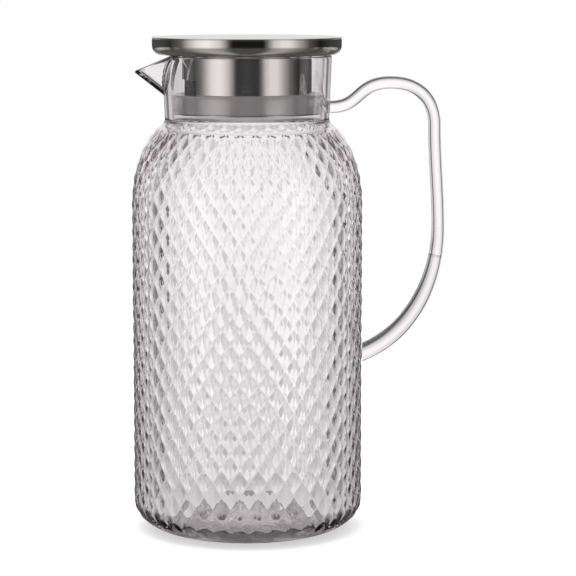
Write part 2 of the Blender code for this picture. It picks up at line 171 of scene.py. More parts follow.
def new_piece(name, shape, material, flat_faces=False, crisp=()):
    """A finished mesh object from a bmesh, smooth apart from its sharp and crisp edges."""
    for face in shape.faces:
        face.smooth = True
    for edge in shape.edges:
        edge.smooth = edge.calc_face_angle(0.0) < SMOOTH_ANGLE
    for edge in crisp:
        edge.smooth = False
    mesh = bpy.data.meshes.new(name)
    shape.to_mesh(mesh)
    shape.free()
    mesh.materials.append(material)
    piece = bpy.data.objects.new(name, mesh)
    bpy.context.scene.collection.objects.link(piece)
    if flat_faces:
        weigh = piece.modifiers.new("flat_faces", "WEIGHTED_NORMAL")
        weigh.keep_sharp = True
    return piece


def dress(piece, body, slot, *nodes):
    """The piece moves with a body and stands for CAD nodes. Its slot is not used."""
    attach(piece, body)
    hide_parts(*nodes)


def spun(profile, steps):
    """A profile of (radius, height) points turned once round Z, as a bmesh."""
    shape = bmesh.new()
    verts = [shape.verts.new((radius, 0.0, height)) for radius, height in profile]
    edges = [shape.edges.new(pair) for pair in zip(verts, verts[1:])]
    if profile[0][0] > WELD:
        edges.append(shape.edges.new((verts[-1], verts[0])))
    bmesh.ops.spin(shape, geom=verts + edges, cent=(0, 0, 0), axis=(0, 0, 1), angle=math.tau,
                   steps=steps, use_merge=True)
    bmesh.ops.remove_doubles(shape, verts=shape.verts, dist=WELD)
    bmesh.ops.recalc_face_normals(shape, faces=shape.faces)
    return shape


def soften(shape, width):
    """Round off the sharp edges."""
    sharp = [edge for edge in shape.edges if edge.calc_face_angle(0.0) > BEVEL_ANGLE]
    bmesh.ops.bevel(shape, geom=sharp, offset=width, offset_type="OFFSET", affect="EDGES",
                    segments=BEVEL_SEGMENTS, profile=0.5, material=-1, clamp_overlap=True)


def ease(low, high, value):
    """0 up to low, 1 from high, and a smooth step between them."""
    share = min(1.0, max(0.0, (value - low) / (high - low)))
    return share * share * (3 - 2 * share)


def ellipse_arc(centre, reach, rise, start, end, steps):
    """Points of an ellipse between two angles."""
    angles = [start + (end - start) * i / steps for i in range(steps + 1)]
    return [(centre[0] + reach * math.cos(a), centre[1] + rise * math.sin(a)) for a in angles]


def corner_arc(start, corner, end, steps):
    """A quadratic curve that rounds the corner between two points."""
    points = []
    for i in range(steps + 1):
        share = i / steps
        weights = ((1 - share) ** 2, 2 * share * (1 - share), share ** 2)
        parts = list(zip(weights, (start, corner, end)))
        points.append(tuple(sum(w * p[k] for w, p in parts) for k in (0, 1)))
    return points


def straight(start, end, steps):
    """Points of a straight line in even steps."""
    return [tuple(a + (b - a) * i / steps for a, b in zip(start, end)) for i in range(steps + 1)]


def along(points, distance):
    """The point at a distance along a polyline."""
    for start, end in zip(points, points[1:]):
        length = math.dist(start, end)
        if distance <= length:
            return tuple(a + (b - a) * distance / length for a, b in zip(start, end))
        distance -= length
    return points[-1]


# Vessel

def neck_radius(z):
    """Outer radius of the neck at a height."""
    return NECK_BASE_R + NECK_TAPER * (z - NECK_Z)


def throat_radius(z):
    """Inner radius of the neck at a height."""
    return neck_radius(z) - NECK_WALL


def heel_arc(start, end, steps):
    """The outer heel between two angles."""
    centre = (BODY_R - HEEL_REACH, HEEL_RISE)
    return ellipse_arc(centre, HEEL_REACH, HEEL_RISE, start, end, steps)


def wall_paths():
    """The body's outside from where the shoulder starts, as a way up and a way down."""
    shoulder = ellipse_arc((BODY_R - SHOULDER_REACH, BODY_H), SHOULDER_REACH, SHOULDER_RISE,
                           0.0, math.pi / 2, FINE_STEPS)
    return shoulder, [(BODY_R, BODY_H)] + heel_arc(0.0, -math.pi / 2, FINE_STEPS)


def wall_point(paths, share):
    """The wall's (radius, height) at a number of diamonds above the start of the shoulder."""
    return along(paths[0] if share > 0 else paths[1], abs(share) * DIAMOND_H)


def wall_rows(paths):
    """Rows of the patterned wall from the heel up, as [(radius, height, diamonds up)]."""
    steps = range(-round(DIAMONDS_DOWN * GRID), round(DIAMONDS_UP * GRID) + 1)
    return [(*wall_point(paths, step / GRID), step / GRID) for step in steps]


def outer_profile(rows):
    """The outside of the wall's section, from the middle of the base up to the rim."""
    foot_r, foot_z, _ = rows[0]
    heel_turn = math.atan2((foot_z - HEEL_RISE) / HEEL_RISE,
                           (foot_r - BODY_R + HEEL_REACH) / HEEL_REACH)
    heel = heel_arc(-math.pi / 2, heel_turn, HEEL_STEPS)
    wall = [row[:2] for row in rows]
    fillet_z = NECK_Z + NECK_FILLET
    neck_foot = (neck_radius(fillet_z), fillet_z)
    fillet = corner_arc(wall[-1], (NECK_BASE_R, NECK_Z), neck_foot, FILLET_STEPS)
    neck = straight(neck_foot, (neck_radius(RIM_LOW), RIM_LOW), NECK_ROWS)
    rim = corner_arc((NECK_RIM_R, RIM_LOW), (NECK_RIM_R, RIM_Z),
                     (NECK_RIM_R - RIM_ROUND, RIM_Z), RIM_STEPS)
    return [(0.0, 0.0)] + heel[:-1] + wall + fillet[1:] + neck[1:] + rim[1:]


def inner_profile():
    """The inside of the wall's section, from the rim down to the middle of the floor."""
    rim_r = throat_radius(RIM_Z)
    rim = corner_arc((rim_r + RIM_ROUND, RIM_Z), (rim_r, RIM_Z), (rim_r, RIM_LOW), RIM_STEPS)
    throat_r = throat_radius(NECK_Z)
    throat = straight((rim_r, RIM_LOW), (throat_r, NECK_Z), NECK_ROWS)

    wall_r = BODY_R - BODY_WALL
    throat_z = NECK_Z - BODY_WALL
    reach_share = 1 - (wall_r - throat_r) / SHOULDER_REACH
    rise = (throat_z - BODY_H) / math.sqrt(1 - reach_share ** 2)
    shoulder = ellipse_arc((wall_r - SHOULDER_REACH, BODY_H), SHOULDER_REACH, rise,
                           math.acos(reach_share) - THROAT_TURN, 0.0, SHOULDER_STEPS)
    edge = corner_arc((throat_r, NECK_Z), (throat_r, throat_z), shoulder[0], FILLET_STEPS)
    floor_rise = HEEL_RISE - BODY_WALL
    hollow = ellipse_arc((wall_r - HEEL_REACH, FLOOR + floor_rise), HEEL_REACH, floor_rise,
                         0.0, -math.pi / 2, HOLLOW_STEPS)
    return rim + throat[1:] + edge[1:] + shoulder[1:] + hollow + [(0.0, FLOOR)]


def turn_grid(shape, rows):
    """Turn the wall's square grid so that its edges follow the grooves. Returns its vertices."""
    def on_wall(face):
        middle = face.calc_center_median()
        outward = face.normal.x * middle.x + face.normal.y * middle.y
        return outward > 0 and rows[0][1] < middle.z < rows[-1][1]

    wall = {face for face in shape.faces if on_wall(face)}
    square = {edge for face in wall for edge in face.edges
              if all(side in wall for side in edge.link_faces)}
    corners = {vert for face in wall for vert in face.verts}
    middles = bmesh.ops.poke(shape, faces=list(wall))["verts"]
    bmesh.ops.dissolve_edges(shape, edges=list(square))
    return list(corners) + middles


def to_groove(lines):
    """A place across the diamonds from a number of mesh lines, which gather at the grooves."""
    groove = lines // GRID + 0.5
    off = lines - groove * GRID
    return groove + math.copysign(PILLOW_LINES[round(abs(off))], off)


def pillow_rise(place):
    """Height of the pillow's section, from 0 in the groove to 1 in the middle of a diamond."""
    edge = PILLOW_LINES[1]
    off = abs(place - math.floor(place) - 0.5)
    return math.sin(math.pi / 2 * max(0.0, off - edge) / (0.5 - edge))


def emboss(shape, paths, rows):
    """Raise the diamond pillows from the body's outer wall, and return the edges round them."""
    heights = [z for _, z, _ in rows]
    low, high = -DIAMONDS_DOWN, DIAMONDS_UP
    lines_of = {}
    for vert in turn_grid(shape, rows):
        row = min(max(bisect.bisect_right(heights, vert.co.z) - 1, 0), len(rows) - 2)
        between = (vert.co.z - heights[row]) / (heights[row + 1] - heights[row])
        across = (math.atan2(vert.co.y, vert.co.x) - PATTERN_TURN) / math.tau * DIAMONDS * GRID
        half_rows = 2 * row + round(2 * between) + 2 * low * GRID
        half_columns = round(2 * across)
        lines = (round(half_columns + half_rows) // 2, round(half_columns - half_rows) // 2)
        lines_of[vert] = lines
        up, down = to_groove(lines[0]), to_groove(lines[1])
        share = (up - down) / 2
        turn = (up + down) / 2 / DIAMONDS * math.tau + PATTERN_TURN
        fade_in = ease(low, low + PATTERN_FADES[0], share)
        fade_out = 1 - ease(high - PATTERN_FADES[1], high, share)
        swell = 1 + SHOULDER_SWELL * ease(0.0, high / 2, share)
        pillow = pillow_rise(up) * pillow_rise(down) - 0.5
        rise = RELIEF * swell * (fade_in * fade_out) * pillow
        radius, z = wall_point(paths, share)
        before = wall_point(paths, share - SLOPE_STEP)
        after = wall_point(paths, share + SLOPE_STEP)
        length = math.dist(before, after)
        radius += rise * (after[1] - before[1]) / length
        z -= rise * (after[0] - before[0]) / length
        vert.co = (radius * math.cos(turn), radius * math.sin(turn), z)

    def on_pillow_edge(edge):
        first, second = (lines_of.get(vert) for vert in edge.verts)
        if first is None or second is None:
            return False
        return any(a == b and abs(a % GRID - GRID // 2) == 1 for a, b in zip(first, second))

    return [edge for edge in shape.edges if on_pillow_edge(edge)]


class SpoutSide:
    """One skin of the spout, outside or inside: a flat face each side leaves the round wall."""

    def __init__(self, tip, normal, low, wall_radius, rim_r, row_h):
        self.tip, self.normal, self.low, self.wall_radius = tip, normal, low, wall_radius
        self.offset = normal.dot(tip)
        self.rows = (RIM_LOW - low) / row_h
        reach = rim_r * math.hypot(normal.x, normal.y)
        past = math.acos((normal.z * RIM_Z - self.offset) / reach)
        self.limit = math.atan2(-normal.y, normal.x) - past
        self.corner = Vector((-rim_r * math.cos(self.limit), rim_r * math.sin(self.limit), RIM_Z))

    def section(self, angle):
        """(radius, height) where the face leaves the wall and of its lip, off the middle."""
        normal, tip, corner = self.normal, self.tip, self.corner
        facing = -normal.x * math.cos(angle) + normal.y * math.sin(angle)
        wall_zero = self.wall_radius(0.0)
        slope = self.wall_radius(1.0) - wall_zero
        leave_z = (self.offset - facing * wall_zero) / (normal.z + facing * slope)
        leave = (self.wall_radius(leave_z), leave_z)
        if leave_z < self.low:
            leave = ((self.offset - normal.z * self.low) / facing, self.low)
        span = corner.y * math.cos(angle) + math.sin(angle) * (corner.x - tip.x)
        lip = tip.lerp(corner, -tip.x * math.sin(angle) / span)
        return leave, (math.hypot(lip.x, lip.y), lip.z - RIM_ROUND)

    def moved(self, angle, z):
        """(radius, height) where the wall's point at a height goes. A row lies on the crease."""
        if angle >= self.limit:
            return self.wall_radius(z), z
        leave, lip = self.section(angle)
        start = (self.wall_radius(self.low), self.low)
        below, above = math.dist(start, leave), math.dist(leave, lip)
        crease = 1 - max(1, round(self.rows * above / (below + above))) / self.rows
        share = (z - self.low) / (RIM_LOW - self.low)
        if share < crease:
            return along([start, leave], below * share / crease)
        return along([leave, lip], above * (share - crease) / (1 - crease))


def spout_sides():
    """The spout's outside and inside, with parallel faces."""
    tip = Vector((-(NECK_RIM_R + SPOUT_REACH), 0.0, RIM_Z - SPOUT_DROP))
    keel_z = RIM_Z - SPOUT_KEEL_DROP
    keel = Vector((-neck_radius(keel_z), 0.0, keel_z))
    corner = Vector((-NECK_RIM_R * math.cos(SPOUT_HALF_ANGLE),
                     NECK_RIM_R * math.sin(SPOUT_HALF_ANGLE), RIM_Z))
    normal = (keel - tip).cross(corner - tip).normalized()
    slope = (RIM_Z - tip.z) / (corner.x - tip.x)
    set_back = SPOUT_WALL / (normal.x + normal.z * slope)
    inner_tip = tip + Vector((set_back, 0.0, slope * set_back))
    inner_z = SEAL_HIGH.z + 2 * SEAT_GAP
    mouth_r = throat_radius(RIM_Z)
    outer_row = (RIM_LOW - NECK_Z - NECK_FILLET) / NECK_ROWS
    inner_row = (RIM_LOW - NECK_Z) / NECK_ROWS
    return (SpoutSide(tip, normal, keel_z, neck_radius, NECK_RIM_R, outer_row),
            SpoutSide(inner_tip, normal, inner_z, throat_radius, mouth_r, inner_row))


def pull_spout(shape):
    """Draw the neck's front out into a V with flat sides of even thickness."""
    sides = spout_sides()
    lowest = min(side.low for side in sides)
    mouth_r = throat_radius(RIM_Z)
    for vert in shape.verts:
        z = vert.co.z
        if z < lowest or vert.co.x > 0:
            continue
        off = math.atan2(vert.co.y, -vert.co.x)
        angle = math.hypot(off, SPOUT_EDGE)
        radius = math.hypot(vert.co.x, vert.co.y)
        if z <= RIM_LOW + WELD:
            outer = radius > (neck_radius(z) + throat_radius(z)) / 2
            side = sides[0] if outer else sides[1]
            if z < side.low:
                continue
            new_r, new_z = side.moved(angle, z)
        else:
            share = (NECK_RIM_R - radius) / (NECK_RIM_R - mouth_r)
            shifts = []
            for side in sides:
                end_r, end_z = side.moved(angle, RIM_LOW)
                shifts.append((end_r - side.wall_radius(RIM_LOW), end_z - RIM_LOW))
            new_r = radius + shifts[0][0] * (1 - share) + shifts[1][0] * share
            new_z = z + shifts[0][1] * (1 - share) + shifts[1][1] * share
        vert.co = (-new_r * math.cos(off), new_r * math.sin(off), new_z)


def make_vessel(material):
    paths = wall_paths()
    rows = wall_rows(paths)
    shape = spun(outer_profile(rows) + inner_profile(), DIAMONDS * GRID)
    pillow_edges = emboss(shape, paths, rows)
    pull_spout(shape)
    piece = new_piece("vessel_shell", shape, material, crisp=pillow_edges)
    dress(piece, "jug", "clear_plastic", "vessel")


# Handle

def handle_stations():
    """Centre line of the handle as [(point, direction, thickness)]."""
    out = Vector((1.0, 0.0, 0.0))
    down = Vector((0.0, 0.0, -1.0))
    inward = Vector((-math.cos(FOOT_SLOPE), 0.0, -math.sin(FOOT_SLOPE)))
    root_z = RIM_Z - ROOT_DROP
    neck = neck_radius(root_z)
    bow_x = BODY_R + GRIP_GAP
    grip_z = RIM_Z - GRIP_DROP
    root = Vector((neck + SEAT_GAP, 0.0, root_z))
    crest = Vector((neck + CREST_OUT, 0.0, RIM_Z - CREST_DROP))
    grip = Vector((bow_x - GRIP_LEAN, 0.0, grip_z))
    bow = Vector((bow_x, 0.0, grip_z - GRIP_H))
    foot = Vector((BODY_R + SEAT_GAP, 0.0, FOOT_Z))
    knots = [
        (root, root + out * ROOT_EASE, crest - out * CREST_EASE, crest),
        (crest, crest + out * CREST_EASE, grip - down * SHOULDER_EASE, grip),
        (grip, grip + down * GRIP_EASE, bow - down * GRIP_EASE, bow),
        (bow, bow + down * BOW_EASE, foot - inward * FOOT_EASE, foot),
    ]
    points = [root]
    for start, leave, arrive, end in knots:
        points += interpolate_bezier(start, leave, arrive, end, HANDLE_STATIONS + 1)[1:]
    directions = [out] + [(b - a).normalized() for a, b in zip(points, points[2:])] + [inward]
    stations = []
    for i, (point, direction) in enumerate(zip(points, directions)):
        spread = ease(FOOT_START, 1.0, i / (len(points) - 1))
        thick = HANDLE_THICK + (FOOT_THICK - HANDLE_THICK) * spread
        if i == SEAM_STATION:
            half = direction * SEAM_W / 2
            stations += [(point - half, direction, thick), (point, direction, thick - SEAM_DEPTH)]
            point = point + half
        stations.append((point, direction, thick))
    return stations


def rod_section(point, direction, thick):
    """The matrix that turns a unit circle into the rod's section at a station."""
    across = Vector((0.0, 1.0, 0.0))
    width = HANDLE_WIDTH * thick / HANDLE_THICK
    columns = (across * width / 2, direction.cross(across) * thick / 2, direction, point)
    return Matrix([[c[k] for c in columns] for k in range(3)] + [[0, 0, 0, 1]])


def make_handle(material):
    stations = handle_stations()
    shape = bmesh.new()
    last = rod_section(*stations[0])
    circle = bmesh.ops.create_circle(shape, cap_ends=False, segments=HANDLE_SIDES, radius=1.0)
    ring = circle["verts"]
    for vert in ring:
        vert.co.x = math.copysign(abs(vert.co.x) ** ROD_SQUARE, vert.co.x)
        vert.co.y = math.copysign(abs(vert.co.y) ** ROD_SQUARE, vert.co.y)
    bmesh.ops.transform(shape, matrix=last, verts=ring)
    rings = [ring]
    edges = list(shape.edges)
    for station in stations[1:]:
        made = bmesh.ops.extrude_edge_only(shape, edges=edges)["geom"]
        ring = [item for item in made if isinstance(item, bmesh.types.BMVert)]
        edges = [item for item in made if isinstance(item, bmesh.types.BMEdge) and
                 all(vert in ring for vert in item.verts)]
        here = rod_section(*station)
        bmesh.ops.transform(shape, matrix=here @ last.inverted(), verts=ring)
        rings.append(ring)
        last = here
    # The ends follow the round neck and the round body
    for vert in rings[0]:
        vert.co.x = math.sqrt((neck_radius(vert.co.z) + SEAT_GAP) ** 2 - vert.co.y ** 2)
    seat_r = BODY_R + RELIEF / 2 + SEAT_GAP
    for vert in rings[-1]:
        reach = math.sqrt(seat_r ** 2 - vert.co.y ** 2) - vert.co.x
        vert.co += Vector((reach, 0.0, reach * math.tan(FOOT_SLOPE)))
    bmesh.ops.holes_fill(shape, edges=[edge for edge in shape.edges if edge.is_boundary])
    bmesh.ops.recalc_face_normals(shape, faces=shape.faces)
    piece = new_piece("handle_rod", shape, material)
    dress(piece, "jug", "clear_plastic", "handle")


# Lid

def make_lid_disc(material):
    """The flat disc, with a skirt that stands inside the bowl."""
    under = TOP_HIGH.z - TOP_THICK
    skirt_r = TOP_HIGH.x - SHEET - SEAT_GAP
    edge_z = TOP_HIGH.z - DISC_EDGE
    edge = corner_arc((TOP_HIGH.x - EDGE_ROUND, TOP_HIGH.z), (TOP_HIGH.x, TOP_HIGH.z),
                      (TOP_HIGH.x, TOP_HIGH.z - EDGE_ROUND), EDGE_STEPS)
    profile = [(0.0, TOP_HIGH.z)] + edge + [(TOP_HIGH.x, edge_z), (skirt_r, edge_z)]
    profile += [(skirt_r, TOP_LOW.z), (skirt_r - SHEET, TOP_LOW.z)]
    profile += [(skirt_r - SHEET, under), (0.0, under)]
    shape = spun(profile, LID_STEPS)
    soften(shape, SEAM_ROUND)
    dress(new_piece("lid_disc", shape, material, flat_faces=True), "lid", "steel", "lid_top")


def make_lid_bowl(material):
    """The curved pan under the disc. Its lip is raised to meet the disc's thin edge."""
    lip_z = PAN_HIGH.z + TOP_THICK - DISC_EDGE
    side_z = PAN_HIGH.z - (TOP_HIGH.z - TOP_THICK - TOP_LOW.z)
    cap_r = PAN_HIGH.x
    flat_r = cap_r - CAP_CURVE
    inner_r = cap_r - SHEET
    floor_z = PAN_LOW.z + SHEET
    outer = corner_arc((cap_r, side_z), (cap_r, PAN_LOW.z), (flat_r, PAN_LOW.z), LID_ARC_STEPS)
    inner = corner_arc((flat_r, floor_z), (inner_r, floor_z), (inner_r, side_z), LID_ARC_STEPS)
    lip = [(inner_r, lip_z), (cap_r, lip_z)]
    shape = spun([(0.0, floor_z)] + inner + lip + outer + [(0.0, PAN_LOW.z)], LID_STEPS)
    soften(shape, SEAM_ROUND)
    dress(new_piece("lid_bowl", shape, material, flat_faces=True), "lid", "steel", "lid_pan")


def make_pour_sleeve(material):
    """The steel tube under the lid, with the pour window cut in its spout side."""
    inner_r = SLEEVE_HIGH.x - SHEET
    low, high = SLEEVE_LOW.z + FOOT_LIFT, SLEEVE_HIGH.z
    window_z = SEAL_HIGH.z - SEAL_DISH + SEAT_GAP
    heights = [low, window_z, window_z + WINDOW_H, high]
    outer = [(SLEEVE_HIGH.x, z) for z in reversed(heights)]
    inner = [(inner_r, z) for z in heights]
    shape = spun(outer + inner, LID_STEPS)

    def in_window(face):
        middle = face.calc_center_median()
        turn = abs(math.atan2(middle.y, -middle.x))
        return turn < WINDOW_HALF_ANGLE and window_z < middle.z < window_z + WINDOW_H

    cut = [face for face in shape.faces if in_window(face)]
    bmesh.ops.delete(shape, geom=cut, context="FACES")
    rims = [edge for edge in shape.edges if edge.is_boundary]
    bmesh.ops.bridge_loops(shape, edges=rims)
    bmesh.ops.recalc_face_normals(shape, faces=shape.faces)
    soften(shape, SHEET_ROUND)
    piece = new_piece("pour_sleeve", shape, material, flat_faces=True)
    dress(piece, "lid", "steel", "lid_sleeve")


def make_seal_ring(material):
    """The silicone ring round the tube, with a dished top."""
    inner_r = SLEEVE_HIGH.x + SEAT_GAP
    lip_r = SEAL_HIGH.x
    lip_z = SEAL_HIGH.z - LIP_DROP
    foot_z = SEAL_LOW.z + FOOT_LIFT
    inner = [(inner_r, foot_z), (inner_r, SEAL_HIGH.z - SEAL_DISH), (lip_r - SEAL_LIP, lip_z)]
    outer = corner_arc((lip_r, lip_z), (SEAL_FOOT_R, (lip_z + foot_z) / 2),
                       (SEAL_FOOT_R, foot_z), LID_ARC_STEPS)
    shape = spun(inner + outer, LID_STEPS)
    soften(shape, SEAL_ROUND)
    piece = new_piece("seal_ring", shape, material, flat_faces=True)
    dress(piece, "seal", "silicone", "lid_seal")


def make_seal_flange(material):
    """The plate under the seal, with a collar inside the tube."""
    collar_r = SLEEVE_HIGH.x - SHEET - SEAT_GAP
    bore_r = collar_r - SHEET
    plate_z = SEAL_LOW.z + FOOT_LIFT - SEAT_GAP
    under = plate_z - FLANGE_THICK
    plate_r = SEAL_FOOT_R - FLANGE_SET_BACK
    profile = [(bore_r, under), (bore_r, FLANGE_HIGH.z), (collar_r, FLANGE_HIGH.z)]
    profile += [(collar_r, plate_z), (plate_r, plate_z), (plate_r, under)]
    shape = spun(profile, LID_STEPS)
    soften(shape, SHEET_ROUND)
    piece = new_piece("seal_flange", shape, material, flat_faces=True)
    dress(piece, "lid", "steel", "seal_retainer")


# Materials

MOULDED_WAVES = 60.0            # slow waves of a moulded wall to a metre
MOULDED_PEEL = 900.0            # and waves of its fine orange peel
PEEL_SHARE = 0.02               # height of the peel beside the slow waves
SMOKE_SCALE = 25.0
RINGS = 4000.0                  # of turned metal to a metre
SMUDGES = 45.0
SCRATCH_TURN = (0.3, 0.9, 0.5)
SCRATCH_SCALE = (40.0, 900.0, 900.0)
SCRATCH_LEVELS = (0.70, 0.76)   # of a noise, between which a scratch sets in

CLEAR_TINTS = ((1.0, 1.0, 1.0), (0.985, 0.975, 0.98))
CLEAR_BUMP = 0.2 * MM
CLEAR_IOR = 1.5
CLEAR_SHADOW = (0.8, 0.79, 0.81, 1.0)
CLEAR_SMOKE = (0.84, 0.73, 0.775, 1.0)  # what its depth lets through
CLEAR_DENSITY = 34.0
CLEAR_WALL = {"waves": MOULDED_WAVES, "strength": 0.15}
CLEAR_ROD = {"waves": 90.0, "strength": 0.2}

STEEL_SMUDGE = 0.05             # how much smudges and scratches change the roughness
STEEL_SCRATCH = 0.08
STEEL_BUMP = (0.06, 0.01 * MM)  # strength and distance
POLISHED_STEEL = {"light": (0.74, 0.70, 0.65), "dark": (0.68, 0.64, 0.59),
                  "roughness": 0.05, "rings": 3000.0}
BRUSHED_STEEL = {"light": (0.74, 0.71, 0.685), "dark": (0.68, 0.65, 0.625),
                 "roughness": 0.055, "rings": RINGS}
# Steel darkened with painted shade, for the strainer in the shadow of the sleeve
STEEL_WITH_PAINTED_SHADE = {"light": (0.12, 0.115, 0.11), "dark": (0.08, 0.076, 0.073),
                "roughness": 0.35, "rings": 1500.0}

SILICONE_TINTS = ((0.94, 0.925, 0.92), (0.99, 0.975, 0.97))
SILICONE_WAVES = 120.0
SILICONE_PEEL = 2500.0
SILICONE_ROUGH = (0.04, 0.03)   # its part that follows the smoke, and its even part
SILICONE_BUMP = (0.1, 0.05 * MM)
SILICONE_IOR = 1.41
SILICONE_CLEAR = 0.7


def add(tree, kind, inputs=None, **settings):
    """A new node: inputs by name or index, each a value or an output socket to link."""
    node = tree.nodes.new(kind)
    for key, value in settings.items():
        setattr(node, key, value)
    for key, value in (inputs or {}).items():
        if isinstance(value, bpy.types.NodeSocket):
            tree.links.new(value, node.inputs[key])
        else:
            node.inputs[key].default_value = value
    return node


def calc(tree, operation, *values):
    """The output of a Math node."""
    return add(tree, "ShaderNodeMath", dict(enumerate(values)), operation=operation).outputs[0]


def ramp(tree, value, low, high, start=0.0, end=1.0):
    """A smooth step of a value from start to end."""
    inputs = {"Value": value, "From Min": low, "From Max": high, "To Min": start, "To Max": end}
    node = add(tree, "ShaderNodeMapRange", inputs, interpolation_type="SMOOTHSTEP")
    return node.outputs["Result"]


def mixed(tree, factor, first, second):
    """A mix of two values."""
    inputs = {"Factor": factor, "A": first, "B": second}
    return add(tree, "ShaderNodeMix", inputs).outputs["Result"]


def tinted(tree, factor, first, second):
    """A mix of two colours, of which the first may be an output socket."""
    if not isinstance(first, bpy.types.NodeSocket):
        first = (*first, 1.0)
    inputs = {"Factor": factor, 6: first, 7: (*second, 1.0)}
    return add(tree, "ShaderNodeMix", inputs, data_type="RGBA").outputs[2]


def noise(tree, place, scale, detail=2.0, roughness=0.5):
    """A noise from 0 to 1 at a place, with so many waves to a metre."""
    inputs = {"Vector": place, "Scale": scale, "Detail": detail, "Roughness": roughness}
    return add(tree, "ShaderNodeTexNoise", inputs).outputs["Fac"]


def object_place(tree):
    return add(tree, "ShaderNodeTexCoord").outputs["Object"]


def length_of(tree, vector):
    return add(tree, "ShaderNodeVectorMath", {0: vector}, operation="LENGTH").outputs["Value"]


def bump(tree, shader, height, strength, distance):
    """Give a shader a bump."""
    node = add(tree, "ShaderNodeBump", {
        "Height": height, "Strength": strength, "Distance": distance})
    tree.links.new(node.outputs["Normal"], shader.inputs["Normal"])


def new_material(name):
    """A material, its node tree, its Principled shader and its output."""
    material = bpy.data.materials.new(name)
    material.use_nodes = True
    tree = material.node_tree
    return material, tree, tree.nodes["Principled BSDF"], tree.nodes["Material Output"]


def new_group(name, inputs, outputs):
    """An empty group of values, as (group, its input sockets, a function to link an output)."""
    group = bpy.data.node_groups.new(name, "ShaderNodeTree")
    for title, value in inputs.items():
        socket = group.interface.new_socket(title, in_out="INPUT", socket_type="NodeSocketFloat")
        socket.default_value = value
    for title in outputs:
        group.interface.new_socket(title, in_out="OUTPUT", socket_type="NodeSocketFloat")
    entry = group.nodes.new("NodeGroupInput").outputs
    leave = group.nodes.new("NodeGroupOutput").inputs
    return group, entry, lambda title, socket: group.links.new(socket, leave[title])


def use_group(tree, group, **values):
    """Outputs of a group placed in a material, its inputs named in lower case."""
    node = add(tree, "ShaderNodeGroup", node_tree=group)
    for title, value in values.items():
        node.inputs[title.capitalize()].default_value = value
    return node.outputs


def moulding_ripple():
    """Slow waves and fine orange peel of a clear moulded wall, and a trace of smoke in it."""
    group, entry, leave = new_group(
        "moulding_ripple", {"Waves": MOULDED_WAVES, "Peel": MOULDED_PEEL}, ("Height", "Smoke"))
    place = object_place(group)
    slow = noise(group, place, entry["Waves"], 1.0)
    fine = noise(group, place, entry["Peel"])
    leave("Height", calc(group, "MULTIPLY_ADD", fine, PEEL_SHARE, slow))
    leave("Smoke", noise(group, place, SMOKE_SCALE, 3.0))
    return group


def turned_metal():
    """Fine rings of a turned and polished sheet round Z, with faint smudges and scratches."""
    group, entry, leave = new_group(
        "turned_metal", {"Rings": RINGS, "Smudges": SMUDGES}, ("Rings", "Smudges", "Scratches"))
    place = object_place(group)
    axes = add(group, "ShaderNodeSeparateXYZ", {0: place}).outputs
    flat = add(group, "ShaderNodeCombineXYZ", {"X": axes["X"], "Y": axes["Y"]}).outputs[0]
    run = calc(group, "ADD", length_of(group, flat), axes["Z"])
    run = calc(group, "MULTIPLY", run, entry["Rings"])
    round_z = add(group, "ShaderNodeVectorMath", {0: flat}, operation="NORMALIZE")
    turn = add(group, "ShaderNodeSeparateXYZ", {0: round_z.outputs["Vector"]}).outputs
    track = add(group, "ShaderNodeCombineXYZ", {"X": turn["X"], "Y": turn["Y"], "Z": run})
    leave("Rings", noise(group, track.outputs[0], 1.0, 3.0, 0.6))
    leave("Smudges", noise(group, place, entry["Smudges"], 4.0, 0.55))
    stretched = add(group, "ShaderNodeMapping", {
        "Vector": place, "Rotation": SCRATCH_TURN, "Scale": SCRATCH_SCALE})
    hair = noise(group, stretched.outputs[0], 1.0, 1.0)
    leave("Scratches", ramp(group, hair, *SCRATCH_LEVELS))
    return group


def clear_plastic(ripple, name, waves, strength):
    """Clear moulded plastic with no roughness, a slight ripple and a smoky tint by depth."""
    material, tree, shader, output = new_material(name)
    surface = use_group(tree, ripple, waves=waves)
    colour = tinted(tree, surface["Smoke"], *CLEAR_TINTS)
    tree.links.new(colour, shader.inputs["Base Color"])
    bump(tree, shader, surface["Height"], strength, CLEAR_BUMP)
    shader.inputs["Roughness"].default_value = 0.0
    shader.inputs["IOR"].default_value = CLEAR_IOR
    shader.inputs["Transmission Weight"].default_value = 1.0
    shadow = add(tree, "ShaderNodeBsdfTransparent", {"Color": CLEAR_SHADOW})
    path = add(tree, "ShaderNodeLightPath")
    mix = add(tree, "ShaderNodeMixShader", {
        0: path.outputs["Is Shadow Ray"], 1: shader.outputs[0], 2: shadow.outputs[0]})
    tree.links.new(mix.outputs[0], output.inputs["Surface"])
    absorb = add(tree, "ShaderNodeVolumeAbsorption", {
        "Color": CLEAR_SMOKE, "Density": CLEAR_DENSITY})
    tree.links.new(absorb.outputs[0], output.inputs["Volume"])
    return material


def steel(turned, name, light, dark, roughness, rings):
    """Stainless steel between two tones, turned in fine rings, with a base roughness."""
    material, tree, shader, _ = new_material(name)
    surface = use_group(tree, turned, rings=rings)
    colour = tinted(tree, surface["Rings"], dark, light)
    tree.links.new(colour, shader.inputs["Base Color"])
    shader.inputs["Metallic"].default_value = 1.0
    even = roughness - STEEL_SMUDGE / 2
    haze = calc(tree, "MULTIPLY_ADD", surface["Smudges"], STEEL_SMUDGE, even)
    haze = calc(tree, "MULTIPLY_ADD", surface["Scratches"], STEEL_SCRATCH, haze)
    tree.links.new(haze, shader.inputs["Roughness"])
    bump(tree, shader, surface["Rings"], *STEEL_BUMP)
    return material


